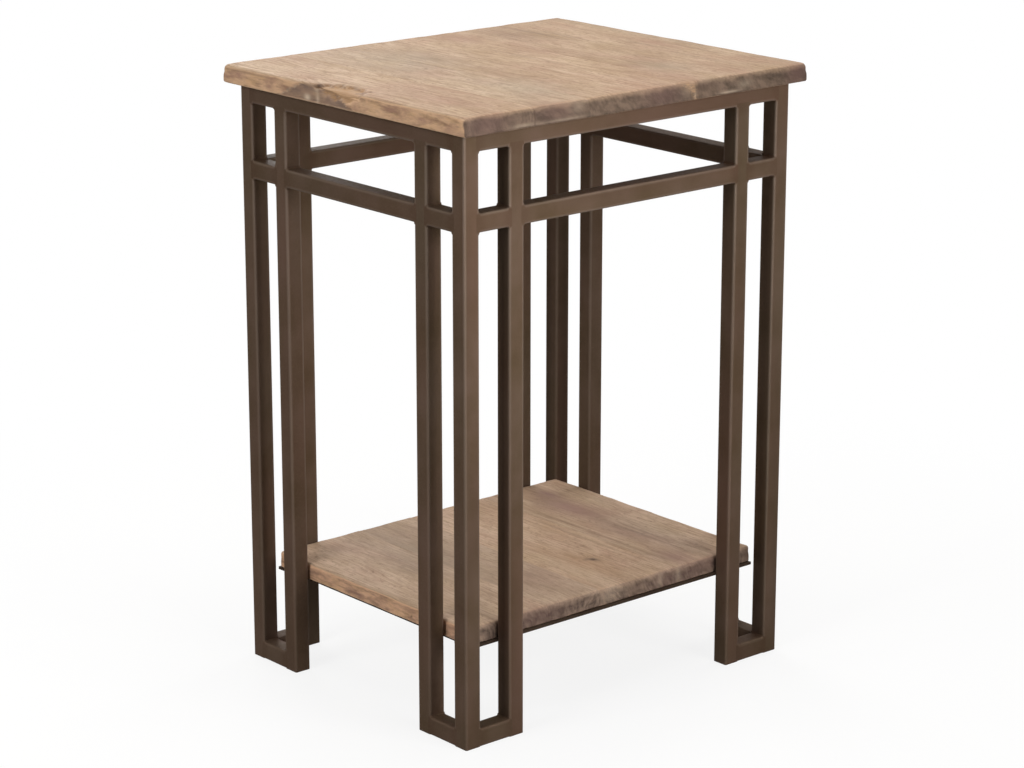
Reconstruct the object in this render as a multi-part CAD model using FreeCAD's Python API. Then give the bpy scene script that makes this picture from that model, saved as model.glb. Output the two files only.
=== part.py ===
import FreeCAD, Part
import math
import os
from FreeCAD import Vector

# Chairside table: a welded frame of square steel tube with a plank top and a plank shelf.
# Millimetres, +Z up, origin on the floor under the middle of the frame.
# Front is -Y, back is +Y, left is -X, right is +X.

# Square tube of the frame
tube = 19.0
tube_wall = 1.5
tube_corner = 2.0             # radius of the tube's outside edges
bore_corner = 0.5             # radius of the tube's inside edges
weld_share = 0.75             # share of a rounded edge that the ground weld fills

# Frame
frame_length = 440.0          # left to right over the posts
frame_depth = 360.0           # front to back over the posts
frame_height = 629.0          # floor to the underside of the top
post_slot = 38.0              # clear slot between a corner post and a side post
apron_window = 60.5           # clear height between a top rail and the apron below it
vent_radius = 2.0             # hole in the top of each back foot bar

# Shelf bars
bar_width = 25.0
bar_thickness = 3.0
bar_height = 98.0             # floor to the underside of the bars
bar_set_in = 4.0              # left and right bars, in from the ends of the shelf

# Top, of planks glued edge to edge
top_thickness = 19.0
top_overhang_ends = 11.0      # past the frame at left and right
top_overhang_faces = 15.5     # past the frame at front and back
top_seams = (87.0, 158.0, 302.0)      # from the left end of the top

# Shelf, of planks glued edge to edge
shelf_thickness = 18.0
shelf_gap = 2.5               # clear gap between the shelf and the posts' inner faces
shelf_seams = (106.0, 178.0, 285.0)   # from the left end of the shelf

# Worn edges of the wood
wood_corner = 5.0             # upright corners
wood_upper_round = 3.0
wood_lower_round = 1.5

# Wood screws, driven upwards
screw_radius = 2.0
screw_head_radius = 4.0
screw_head_height = 1.7
screw_head_rim = 0.5          # upright part of the head's side
screw_tip = 4.0
recess_width = 0.9
recess_length = 4.4
recess_depth = 1.0
screw_hole_clearance = 0.2    # round the shank, in the steel
pilot_clearance = 0.05        # round the shank, in the wood
pilot_spare = 1.0             # depth of the pilot hole past the screw's tip
top_screw_bite = 12.0         # length of screw in the wood
shelf_screw_bite = 11.0
top_screw_pitch = 108.0       # between the screws along the middle of a top rail
shelf_screw_pitch = 78.0
shelf_screws_per_bar = 5

# Plastic plugs in the bottom ends of the posts
plug_clearance = 0.1
plug_inset = 0.5              # above the floor
plug_head = 3.0
plug_skirt = 11.0
plug_skirt_wall = 1.2
plug_fin_depth = 0.8
plug_fin_height = 1.0
plug_fins = 3

ALONG_X = Vector(1, 0, 0)
ALONG_Y = Vector(0, 1, 0)
ALONG_Z = Vector(0, 0, 1)

half_length = frame_length / 2
half_depth = frame_depth / 2
inner_length = half_length - tube
inner_depth = half_depth - tube
weld_reach = weld_share * tube_corner
rail_bottom = frame_height - tube
apron_bottom = rail_bottom - apron_window - tube
overrun = 1.0                 # how far a cutting solid passes the face that it cuts

nodes = {}


def prism(low, high, run, corner):
    """Block between two corners, with its four edges along run rounded."""
    size = high - low
    block = Part.makeBox(size.x, size.y, size.z, low)
    along = [e for e in block.Edges if abs(e.tangentAt(e.FirstParameter).dot(run)) > 0.5]
    return block.makeFillet(corner, along)


def one_solid(shape):
    """The single solid that a cut has left."""
    if len(shape.Solids) != 1:
        raise ValueError("expected one solid, found %d" % len(shape.Solids))
    return shape.Solids[0]


def square_tube(low, high, run, reach_low=0.0, reach_high=0.0, meets=()):
    """A length of tube. A welded end reaches on and wraps the rounded edges it meets."""
    low = low - run * reach_low
    high = high + run * reach_high
    across = (Vector(1, 1, 1) - run) * tube_wall
    bore = prism(low + across - run * overrun, high - across + run * overrun, run, bore_corner)
    shape = prism(low, high, run, tube_corner).cut(bore)
    for other in meets:
        shape = shape.cut(other)
    return one_solid(shape)


# Each side of the frame: the way it runs, where its tubes start across that run,
# half its length, and the names of its two ends.
sides = {
    "front": (ALONG_X, -half_depth, half_length, ("left", "right")),
    "back": (ALONG_X, inner_depth, half_length, ("left", "right")),
    "left": (ALONG_Y, -half_length, half_depth, ("front", "back")),
    "right": (ALONG_Y, inner_length, half_depth, ("front", "back")),
}


def in_wall(side, start, end, bottom, top):
    """Low and high corners of a tube that lies in one side, from start to end along it."""
    run, wall = sides[side][:2]
    if run == ALONG_X:
        return Vector(start, wall, bottom), Vector(end, wall + tube, top)
    return Vector(wall, start, bottom), Vector(wall + tube, end, top)


def ordered(sign, near, far):
    """Start and end of a stretch that lies near to far from the middle, on the sign's side."""
    return sorted((sign * near, sign * far))


def post_name(side, end):
    """A corner post is named front or back first, whichever side asks for it."""
    return "corner_post_%s_%s" % ((side, end) if side in ("front", "back") else (end, side))


# Corner posts, whole from the floor to the top
outsides = {}
post_centres = []
for depth_name, depth_sign in (("front", -1), ("back", 1)):
    for length_name, length_sign in (("left", -1), ("right", 1)):
        x0, x1 = ordered(length_sign, inner_length, half_length)
        y0, y1 = ordered(depth_sign, inner_depth, half_depth)
        low = Vector(x0, y0, 0)
        high = Vector(x1, y1, frame_height)
        name = post_name(depth_name, length_name)
        outsides[name] = prism(low, high, ALONG_Z, tube_corner)
        nodes[name] = square_tube(low, high, ALONG_Z)
        post_centres.append((low + high) * 0.5)

# The other tubes, side by side: a left or right tube also clears the weld of the
# front or back tube that meets the same corner post.
for side, (run, _, half, ends) in sides.items():
    corners = [outsides[post_name(side, end)] for end in ends]
    in_front = {level: [shape for name, shape in nodes.items() if name.startswith(level)]
                for level in ("top_rail", "apron_link", "foot_bar")}

    # Top rail, from corner post to corner post
    low, high = in_wall(side, tube - half, half - tube, rail_bottom, frame_height)
    rail_outside = prism(low, high, run, tube_corner)
    nodes["top_rail_" + side] = square_tube(
        low, high, run, weld_reach, weld_reach, corners + in_front["top_rail"])

    for end, sign, corner in zip(ends, (-1, 1), corners):
        # Side post, from the floor to the underside of the top rail
        slot_end = half - tube - post_slot
        start, stop = ordered(sign, slot_end - tube, slot_end)
        low, high = in_wall(side, start, stop, 0, rail_bottom)
        post_outside = prism(low, high, ALONG_Z, tube_corner)
        nodes["side_post_%s_%s" % (side, end)] = square_tube(
            low, high, ALONG_Z, 0, weld_reach, [rail_outside])
        post_centres.append((low + high) * 0.5)
        outsides[side, end] = post_outside

        # Foot bar and apron link, across the slot between the two posts
        start, stop = ordered(sign, slot_end, half - tube)
        for level, bottom in (("foot_bar", 0), ("apron_link", apron_bottom)):
            low, high = in_wall(side, start, stop, bottom, bottom + tube)
            nodes["%s_%s_%s" % (level, side, end)] = square_tube(
                low, high, run, weld_reach, weld_reach,
                [corner, post_outside] + in_front[level])

    # Apron rail, from side post to side post
    window_half = half - 2 * tube - post_slot
    low, high = in_wall(side, -window_half, window_half, apron_bottom, apron_bottom + tube)
    nodes["apron_rail_" + side] = square_tube(
        low, high, run, weld_reach, weld_reach, [outsides[side, end] for end in ends])

# Vent holes, drilled down through the upper wall of the back foot bars
slot_middle = half_length - tube - post_slot / 2
wall_middle = half_depth - tube / 2
for end, sign in (("left", -1), ("right", 1)):
    drill = Part.makeCylinder(
        vent_radius, tube_wall + 2 * overrun,
        Vector(sign * slot_middle, wall_middle, tube - tube_wall - overrun))
    name = "foot_bar_back_" + end
    nodes[name] = one_solid(nodes[name].cut(drill))

# Shelf bars: flat bar laid level. The front and back ones lie against the inner faces of the
# side posts and are as long as the shelf; the left and right ones go between them.
shelf_half = inner_length - shelf_gap
for side, sign in (("front", -1), ("back", 1)):
    start, stop = ordered(sign, inner_depth - bar_width, inner_depth)
    nodes["shelf_bar_" + side] = Part.makeBox(
        2 * shelf_half, stop - start, bar_thickness,
        Vector(-shelf_half, start, bar_height))
for side, sign in (("left", -1), ("right", 1)):
    bar_end = shelf_half - bar_set_in
    start, stop = ordered(sign, bar_end - bar_width, bar_end)
    between = inner_depth - bar_width
    nodes["shelf_bar_" + side] = Part.makeBox(
        stop - start, 2 * between, bar_thickness, Vector(start, -between, bar_height))


def planks(half_x, half_y, bottom, thickness, seams):
    """Planks of a slab centred over the frame, from left to right, cut along straight seams.

    The slab has rounded corners and edges, so only the outer planks and ends are rounded.
    """
    top = bottom + thickness
    slab = prism(Vector(-half_x, -half_y, bottom), Vector(half_x, half_y, top), ALONG_Z, wood_corner)
    for height, radius in ((top, wood_upper_round), (bottom, wood_lower_round)):
        rim = [e for e in slab.Edges if all(abs(v.Z - height) < 0.001 for v in e.Vertexes)]
        slab = slab.makeFillet(radius, rim)
    cuts = [-half_x - overrun] + [seam - half_x for seam in seams] + [half_x + overrun]
    strips = []
    for start, stop in zip(cuts, cuts[1:]):
        strip = Part.makeBox(
            stop - start, 2 * (half_y + overrun), thickness + 2 * overrun,
            Vector(start, -half_y - overrun, bottom - overrun))
        strips.append(one_solid(slab.common(strip)))
    return strips


def screw(length):
    """Wafer-head wood screw pointing up, with its head's bearing face at the origin."""
    dome_height = screw_head_height - screw_head_rim
    dome_radius = (screw_head_radius ** 2 + dome_height ** 2) / (2 * dome_height)
    half_way = screw_head_radius / 2
    half_drop = dome_radius - math.sqrt(dome_radius ** 2 - half_way ** 2)
    crown = Vector(0, 0, -screw_head_height)
    dome = Vector(half_way, 0, half_drop - screw_head_height)
    rim = Vector(screw_head_radius, 0, -screw_head_rim)
    neck = [Vector(screw_head_radius, 0, 0), Vector(screw_radius, 0, 0),
            Vector(screw_radius, 0, length - screw_tip), Vector(0, 0, length)]
    edges = [Part.Arc(crown, dome, rim).toShape()]
    for start, stop in zip([rim] + neck, neck + [crown]):
        edges.append(Part.LineSegment(start, stop).toShape())
    body = Part.Face(Part.Wire(edges)).revolve(Vector(0, 0, 0), ALONG_Z, 360)
    for width, length_across in ((recess_width, recess_length), (recess_length, recess_width)):
        body = body.cut(Part.makeBox(
            width, length_across, recess_depth + overrun,
            Vector(-width / 2, -length_across / 2, -screw_head_height - overrun)))
    return one_solid(body)


def placed(shape, place):
    """A copy of a shape, moved to its place."""
    copy = shape.copy()
    copy.translate(place)
    return copy


def screw_down(name, boards, steel, bearing, seat, bite, places):
    """Screws from bearing height through the steel nodes into the boards that sit at seat height."""
    length = seat - bearing + bite
    drill = Part.makeCylinder(screw_radius + screw_hole_clearance, seat - bearing + 2 * overrun)
    pilot = Part.makeCylinder(screw_radius + pilot_clearance, bite + pilot_spare + overrun)
    holes = [placed(drill, Vector(x, y, bearing - overrun)) for x, y in places]
    pilots = [placed(pilot, Vector(x, y, seat - overrun)) for x, y in places]
    for node in steel:
        nodes[node] = one_solid(nodes[node].cut(holes))
    for number, board in enumerate(boards, 1):
        nodes["%s_plank_%d" % (name, number)] = one_solid(board.cut(pilots))
    one = screw(length)
    nodes[name + "_screws"] = Part.makeCompound([placed(one, Vector(x, y, bearing)) for x, y in places])


# Top: one screw in each slot of the front and back rails, and three along the middle
top_planks = planks(half_length + top_overhang_ends, half_depth + top_overhang_faces,
                    frame_height, top_thickness, top_seams)
top_screw_x = (-slot_middle, -top_screw_pitch, 0.0, top_screw_pitch, slot_middle)
screw_down("top", top_planks, ("top_rail_front", "top_rail_back"),
           rail_bottom, frame_height, top_screw_bite,
           [(x, y) for y in (-wall_middle, wall_middle) for x in top_screw_x])

# Shelf: it sits on the bars, and its screws come up through the front and back ones
shelf_planks = planks(shelf_half, inner_depth - shelf_gap,
                      bar_height + bar_thickness, shelf_thickness, shelf_seams)
bar_middle = inner_depth - bar_width / 2
shelf_screw_x = [(i - (shelf_screws_per_bar - 1) / 2) * shelf_screw_pitch
                 for i in range(shelf_screws_per_bar)]
screw_down("shelf", shelf_planks, ("shelf_bar_front", "shelf_bar_back"),
           bar_height, bar_height + bar_thickness, shelf_screw_bite,
           [(x, y) for y in (-bar_middle, bar_middle) for x in shelf_screw_x])


def post_plug():
    """Plug for the bottom of a post: a flat head, a hollow skirt and thin gripping fins."""
    grip = tube / 2 - tube_wall - plug_clearance
    core = grip - plug_fin_depth
    hollow = core - plug_skirt_wall
    head_top = plug_inset + plug_head
    top = head_top + plug_skirt

    def square(half, bottom, height_top):
        return prism(Vector(-half, -half, bottom), Vector(half, half, height_top), ALONG_Z, bore_corner)

    plug = square(grip, plug_inset, head_top).fuse(square(core, plug_inset, top))
    for i in range(plug_fins):
        bottom = head_top + (i + 1) * plug_skirt / (plug_fins + 1)
        plug = plug.fuse(square(grip, bottom, bottom + plug_fin_height))
    return one_solid(plug.cut(square(hollow, head_top, top + overrun)))


one_plug = post_plug()
nodes["post_plugs"] = Part.makeCompound([placed(one_plug, Vector(c.x, c.y, 0)) for c in post_centres])

os.makedirs("parts", exist_ok=True)
for name, shape in nodes.items():
    if not shape.isValid():
        raise ValueError("%s is not a valid shape" % name)
    shape.exportStep("parts/%s.step" % name)
print("%d nodes, %d solids" % (len(nodes), sum(len(shape.Solids) for shape in nodes.values())))
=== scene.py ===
import bpy
import numpy as np
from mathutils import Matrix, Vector


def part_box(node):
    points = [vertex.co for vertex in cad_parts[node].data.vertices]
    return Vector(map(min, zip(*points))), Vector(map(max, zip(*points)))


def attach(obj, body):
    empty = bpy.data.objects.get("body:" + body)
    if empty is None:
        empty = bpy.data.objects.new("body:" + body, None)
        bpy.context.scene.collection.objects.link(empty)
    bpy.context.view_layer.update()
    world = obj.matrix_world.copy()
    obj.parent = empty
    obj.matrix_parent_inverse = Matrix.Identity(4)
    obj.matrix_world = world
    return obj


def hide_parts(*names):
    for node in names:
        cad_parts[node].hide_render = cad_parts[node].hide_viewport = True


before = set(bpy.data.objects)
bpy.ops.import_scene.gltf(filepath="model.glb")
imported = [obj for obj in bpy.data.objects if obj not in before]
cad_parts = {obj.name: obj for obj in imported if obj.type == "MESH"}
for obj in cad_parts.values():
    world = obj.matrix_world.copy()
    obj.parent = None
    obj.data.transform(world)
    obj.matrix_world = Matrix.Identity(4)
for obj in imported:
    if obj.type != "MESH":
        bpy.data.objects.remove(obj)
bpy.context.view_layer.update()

# Posts: twelve lengths of square steel tube in four open legs of three, one in the corner and one beside
# it on each face. Corner posts reach up to the wood, side posts are welded under the top rails, and the
# feet are open for plugs. The whole frame is ground flush and powder coated dark bronze.
METRES = 0.001                     # sizes below are in millimetres
SHARP_ANGLE = np.radians(40)       # faces that meet at a larger angle keep a crisp edge
SHARE, UNDER, OVER = 0, 6, 7       # a colour Mix node's inputs: the second colour's share, and both colours
MIXED = 2                          # and its output


def colour(code):
    """An sRGB hex value as a linear colour."""
    srgb = np.array([int(code[i:i + 2], 16) for i in (1, 3, 5)]) / 255
    linear = np.where(srgb <= 0.04045, srgb / 12.92, ((srgb + 0.055) / 1.055) ** 2.4)
    return (*linear.tolist(), 1.0)


def add(tree, kind, sockets=None, **settings):
    """Adds one node: settings are its own choices, and each socket gets a value or a link."""
    made = tree.nodes.new(kind)
    for name, value in settings.items():
        setattr(made, name, value)
    for name, value in (sockets or {}).items():
        if isinstance(value, bpy.types.NodeSocket):
            tree.links.new(value, made.inputs[name])
        else:
            made.inputs[name].default_value = value
    return made


def finish_of(name):
    """A new material with an empty shader, and its node tree."""
    material = bpy.data.materials.new(name)
    material.use_nodes = True
    material.node_tree.nodes.clear()
    return material, material.node_tree


def piece(name, points, faces, material, slot, stands_for, **layers):
    """Puts whole arrays of points in millimetres, faces and per-point layers into a mesh on the frame."""
    mesh = bpy.data.meshes.new(name)
    mesh.from_pydata((points * METRES).tolist(), [], faces)
    for layer, values in layers.items():
        kind, field = ("FLOAT", "value") if values.ndim == 1 else ("FLOAT_VECTOR", "vector")
        kept = mesh.attributes.new(layer, kind, "POINT")
        kept.data.foreach_set(field, np.ascontiguousarray(values, dtype=np.float32).ravel())
    mesh.polygons.foreach_set("use_smooth", np.ones(len(mesh.polygons), dtype=bool))
    mesh.set_sharp_from_angle(angle=SHARP_ANGLE)
    mesh.materials.append(material)
    made = bpy.data.objects.new(name, mesh)
    bpy.context.scene.collection.objects.link(made)
    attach(made, "root")
    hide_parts(stands_for)
    return made


TUBE_HALF = 9.5
TUBE_WALL = 1.5
TUBE_CORNER = 2.0
ARC_STEPS = 6
FLAT_LEAD = 1.2                    # a line of points this far out on the flats keeps their shading flat


def tube_outline(sides, corner):
    """The rounded square of each row of a tube. Four quarter circles, each centred one corner radius
    in from two sides, and a point slid a little way along the flat before and after each of them.
    sides holds a row's four distances from the middle line: +u, +v, -u and -v."""
    quarter = np.linspace(0, np.pi / 2, ARC_STEPS + 1)
    turn = np.pad(quarter + np.arange(4)[:, None] * np.pi / 2, ((0, 0), (1, 1)), mode="edge")
    slide = np.zeros(ARC_STEPS + 3)
    slide[0] = -FLAT_LEAD
    slide[-1] = FLAT_LEAD
    pick_u = np.array([0, 2, 2, 0])
    pick_v = np.array([1, 1, 3, 3])
    sign_u = np.array([1, -1, -1, 1])
    sign_v = np.array([1, 1, -1, -1])
    radius = corner[:, None, None]
    middle_u = (sides[:, pick_u] - corner[:, None]) * sign_u
    middle_v = (sides[:, pick_v] - corner[:, None]) * sign_v
    u = middle_u[:, :, None] + radius * np.cos(turn) - slide * np.sin(turn)
    v = middle_v[:, :, None] + radius * np.sin(turn) + slide * np.cos(turn)
    on_edge = np.tile(np.pad(0.5 + 0.5 * np.sin(2 * quarter), 1), 4)
    return u.reshape(len(sides), -1), v.reshape(len(sides), -1), on_edge


END_LEAD = 2.0                     # a row this far in keeps the shading of the end to itself
FOOT_BORE = 26.0                   # the bore is made this far up, past the plug
FOOT_RIM = ((0.0, 0.4), (0.15, 0.12), (0.45, 0.0))     # a filed rim: distances from the end and the face
WELD_REACH = 1.5                   # how far a welded end covers the rounded edge that it meets
WELD_WRAP = 2.1                    # how much further the ground weld runs on over the flat behind that edge
WELD_PROUD = 0.02                  # a hair, so that it and that flat don't show through each other
WELD_RADIUS = 2.3                  # hollow of the ground weld in an inside corner
WELD_HEAT = np.array([3.0, 7.0, 13.0])                 # the weld's heat fades out over this length of tube


def end_rows(kind):
    """Rows at one end of a tube, from the outside in: distance from the end, half size, corner radius,
    height of the weld's hollow and heat of the weld. A foot goes down its bore and round its rim. A weld
    starts over the flat behind the rounded edge that it meets, a hair proud of it. Its hollow is a quarter
    circle that starts on that post's face and dies out along the tube."""
    if kind == "foot":
        away, inset = np.array([(FOOT_BORE, TUBE_WALL), (0.0, TUBE_WALL), *FOOT_RIM, (END_LEAD, 0.0)]).T
        return away, TUBE_HALF - inset, TUBE_CORNER - inset, np.zeros(len(away)), np.zeros(len(away))
    if kind == "butt":
        away = np.array([0.0, END_LEAD])
        hollow = np.zeros(2)
        heat = np.zeros(2)
    else:
        turn = np.linspace(0, np.pi / 2, ARC_STEPS + 1)
        arc = WELD_REACH + WELD_RADIUS * (1 - np.cos(turn))
        away = np.concatenate([[-WELD_WRAP], arc, WELD_REACH + WELD_RADIUS + WELD_HEAT])
        hollow = np.concatenate([[WELD_RADIUS], WELD_RADIUS * (1 - np.sin(turn)), np.zeros(len(WELD_HEAT))])
        heat = np.concatenate([np.ones(ARC_STEPS + 2), 1 - WELD_HEAT / WELD_HEAT[-1]])
    return away, TUBE_HALF + WELD_PROUD * heat, np.full(len(away), TUBE_CORNER), hollow, heat


RUN_X, RUN_Y, RUN_Z = range(3)
AXES = {"right": (0, 1), "left": (0, -1), "back": (1, 1), "front": (1, -1),
        "up": (2, 1), "down": (2, -1)}
LAY_SHIFT = 3.1                    # moves the drawing lines on from tube to tube, so that they all differ
RAIL_HIGHLIGHT = 0.6                     # rails get a weaker painted highlight on their edges than posts
HIGHLIGHT_HEIGHTS = (0.0, 500.0)         # the painted edge highlight fades out towards the floor
HIGHLIGHT_SHARES = (0.3, 1.0)


def tube(node, run, low_end, high_end, material, hollows=()):
    """A rounded-square outline carried along a straight path, one outline for each row of its two ends.
    hollows names the sides of the tube where its welded ends swell out into the inside corners. The other
    sides stay flush with the post."""
    low, high = (np.array(corner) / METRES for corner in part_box(node))
    first = end_rows(low_end)
    last = [values[::-1] for values in end_rows(high_end)]
    along = np.concatenate([low[run] + first[0], high[run] - last[0]])
    half, corner, hollow, heat = (np.concatenate([a, b]) for a, b in zip(first[1:], last[1:]))
    sides = np.repeat(half[:, None], 4, axis=1)
    for side in hollows:
        axis, sign = AXES[side]
        sides[:, (axis - run - 1) % 3 + (0 if sign > 0 else 2)] += hollow
    u, v, on_edge = tube_outline(sides, corner)
    rows, columns = u.shape
    points = np.zeros((rows, columns, 3))
    points[..., run] = along[:, None]
    points[..., (run + 1) % 3] = u + (low + high)[(run + 1) % 3] / 2
    points[..., (run + 2) % 3] = v + (low + high)[(run + 2) % 3] / 2
    # a foot bar's weld is a hair proud on its other sides, but doesn't go below the floor
    points[..., 2] = np.maximum(points[..., 2], 0.0)
    index = np.arange(rows * columns).reshape(rows, columns)
    following = np.roll(index, -1, axis=1)
    quads = np.stack([index[:-1], following[:-1], following[1:], index[1:]], axis=-1).reshape(-1, 4)
    faces = quads.tolist() + [index[0, ::-1].tolist(), index[-1].tolist()]
    around = np.cumsum(np.hypot(np.diff(u[-1], append=u[-1, :1]), np.diff(v[-1], append=v[-1, :1])))
    lay = np.stack([np.broadcast_to(around, u.shape), np.broadcast_to(along[:, None], u.shape),
                    np.full(u.shape, low.sum() * LAY_SHIFT)], axis=-1)
    # the pale line along the rounded edges is painted highlight, weaker on rails and near the floor
    highlight_share = 1.0 if run == RUN_Z else RAIL_HIGHLIGHT
    edge_highlight = on_edge * highlight_share * np.interp(points[..., 2], HIGHLIGHT_HEIGHTS, HIGHLIGHT_SHARES)
    return piece("coated_" + node, points.reshape(-1, 3), faces, material, "bronze_coat", node,
                 edge=edge_highlight.ravel(),
                 weld=np.broadcast_to(heat[:, None], u.shape).ravel(),
                 lay=lay.reshape(-1, 3))


def powder_coat(name, thin, thick, liveliness):
    """Bronze powder coat on steel tube: a baked film with a little fine metal flake, satin, with a faint
    orange peel. It shows as a warm brown that stays dark on flat faces and drifts between olive and red,
    with a painted highlight along the rounded edges, and it is a little redder and rougher where a weld
    was ground. liveliness is how strongly these drifts and marks show."""
    material, tree = finish_of(name)
    place = add(tree, "ShaderNodeTexCoord").outputs["Object"]
    lay = add(tree, "ShaderNodeAttribute", attribute_name="lay").outputs["Vector"]
    edge = add(tree, "ShaderNodeAttribute", attribute_name="edge").outputs["Fac"]
    weld = add(tree, "ShaderNodeAttribute", attribute_name="weld").outputs["Fac"]
    marks = {}
    for mark, size, detail in (
            ("cloud", 45, 3.0),        # clouds in the film
            ("flake", 0.9, 1.0),       # flake is 0.05 mm: drawn coarser, so that it shows as a faint grain
            ("peel", 2.5, 1.0),        # orange peel, from crest to crest
            ("ground", 1.5, 3.0)):     # grinding marks on the welds
        marks[mark] = add(tree, "ShaderNodeTexNoise", {"Vector": place, "Scale": 1 / (size * METRES),
                                                       "Detail": detail}).outputs["Fac"]
    for mark, apart, long, layer in (
            ("lines", 3, 200, 1.0),    # drawing lines of the tube under the film
            ("bands", 9, 320, 1.7)):   # broader and longer ones
        drawn = add(tree, "ShaderNodeVectorMath", {0: lay, 1: (1 / apart, 1 / long, layer)},
                    operation="MULTIPLY").outputs[0]
        marks[mark] = add(tree, "ShaderNodeTexNoise", {"Vector": drawn, "Scale": 1.0,
                                                       "Detail": 2.0}).outputs["Fac"]
    tone = add(tree, "ShaderNodeMapRange", {"Value": marks["cloud"], "From Min": 0.3,
                                            "From Max": 0.7}).outputs["Result"]
    film = add(tree, "ShaderNodeMix", {SHARE: tone, UNDER: colour(thin), OVER: colour(thick)},
               data_type="RGBA").outputs[MIXED]
    scorch = add(tree, "ShaderNodeMath", {0: weld, 1: marks["ground"]}, operation="MULTIPLY").outputs[0]
    for value, least, most, share, code in (
            (marks["bands"], 0.5, 0.7, 0.45, "#6b5044"),       # drift to red
            (marks["bands"], 0.5, 0.3, 0.4, "#5c5242"),        # and to olive
            (marks["lines"], 0.35, 0.7, 0.35, "#463529"),
            (marks["flake"], 0.5, 0.75, 0.2, "#7b6754"),
            (edge, 0.0, 1.0, 0.42, "#928377"),                 # painted highlight on the rounded edges
            (scorch, 0.2, 0.7, 0.35, "#4c3528")):              # ground welds
        amount = add(tree, "ShaderNodeMapRange", {"Value": value, "From Min": least, "From Max": most,
                                                  "To Max": share * liveliness}).outputs["Result"]
        film = add(tree, "ShaderNodeMix", {SHARE: amount, UNDER: film, OVER: colour(code)},
                   data_type="RGBA").outputs[MIXED]
    gloss = add(tree, "ShaderNodeMapRange", {"Value": marks["peel"], "From Min": 0.3, "From Max": 0.7,
                                             "To Min": 0.45, "To Max": 0.58}).outputs["Result"]
    rough = add(tree, "ShaderNodeMath", {0: scorch, 1: 0.12, 2: gloss}, operation="MULTIPLY_ADD").outputs[0]
    swell = add(tree, "ShaderNodeMath", {0: scorch, 1: 0.8, 2: marks["peel"]},
                operation="MULTIPLY_ADD").outputs[0]
    bump = add(tree, "ShaderNodeBump", {"Height": swell, "Strength": 0.25,
                                        "Distance": 0.0004}).outputs["Normal"]
    shell = add(tree, "ShaderNodeBsdfPrincipled", {"Base Color": film, "Metallic": 0.12, "Roughness": rough,
                                                   "Specular IOR Level": 0.02, "Normal": bump}).outputs[0]
    add(tree, "ShaderNodeOutputMaterial", {"Surface": shell})
    return material


bronze_coat = powder_coat("bronze_powder_coat", thin="#564534", thick="#655245", liveliness=1.0)
# for each face of the frame, the way that its rails run and the two ends they run between
FACES = {"front": (RUN_X, "left", "right"), "back": (RUN_X, "left", "right"),
         "left": (RUN_Y, "front", "back"), "right": (RUN_Y, "front", "back")}
for depth in ("front", "back"):
    for width in ("left", "right"):
        tube(f"corner_post_{depth}_{width}", RUN_Z, "foot", "butt", bronze_coat)
for face, (run, near, far) in FACES.items():
    for end in (near, far):
        tube(f"side_post_{face}_{end}", RUN_Z, "foot", "weld", bronze_coat, (near, far))

# Rails and bars: the same tube laid between the posts. Foot bars close the legs at the floor, aprons
# tie them together under the top, and top rails carry the wood. All are welded end to side, and the
# foot bars at the back have a vent hole, which lets air out of the tube in the coating oven.
VENT_RADIUS = 2.0
VENT_DEPTH = 6.0
VENT_STEPS = 24
BIT_CLEAR = 1.0                    # how far the drill bit stands out above the bar


def drill(bar):
    """Bores a round hole down into the middle of a foot bar's upper face: a cylinder, as two rings of
    points and the walls between them, is cut out of it."""
    low, high = (np.array(corner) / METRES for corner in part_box(bar.name.removeprefix("coated_")))
    turn = np.arange(VENT_STEPS) * 2 * np.pi / VENT_STEPS
    ring = np.stack([np.cos(turn), np.sin(turn)], axis=-1) * VENT_RADIUS + (low + high)[:2] / 2
    heights = np.array([high[2] - VENT_DEPTH, high[2] + BIT_CLEAR])
    points = np.concatenate([np.c_[ring, np.full(VENT_STEPS, height)] for height in heights]) * METRES
    index = np.arange(VENT_STEPS)
    following = np.roll(index, -1)
    walls = np.stack([index, following, following + VENT_STEPS, index + VENT_STEPS], axis=-1)
    ends = [index[::-1].tolist(), (index + VENT_STEPS).tolist()]
    mesh = bpy.data.meshes.new("bit")
    mesh.from_pydata(points.tolist(), [], walls.tolist() + ends)
    bit = bpy.data.objects.new("bit", mesh)
    bpy.context.scene.collection.objects.link(bit)
    cut = bar.modifiers.new("hole", "BOOLEAN")
    cut.object = bit
    cut.operation = "DIFFERENCE"
    cut.solver = "EXACT"
    bored = bpy.data.meshes.new_from_object(bar.evaluated_get(bpy.context.evaluated_depsgraph_get()))
    bar.modifiers.clear()
    bar.data = bored
    bored.set_sharp_from_angle(angle=SHARP_ANGLE)
    bpy.data.objects.remove(bit)


for face, (run, near, far) in FACES.items():
    tube(f"top_rail_{face}", run, "weld", "weld", bronze_coat, ("down",))
    tube(f"apron_rail_{face}", run, "weld", "weld", bronze_coat, ("up", "down"))
    for end in (near, far):
        tube(f"apron_link_{face}_{end}", run, "weld", "weld", bronze_coat, ("up", "down"))
        bar = tube(f"foot_bar_{face}_{end}", run, "weld", "weld", bronze_coat, ("up",))
        if face == "back":
            drill(bar)

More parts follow.
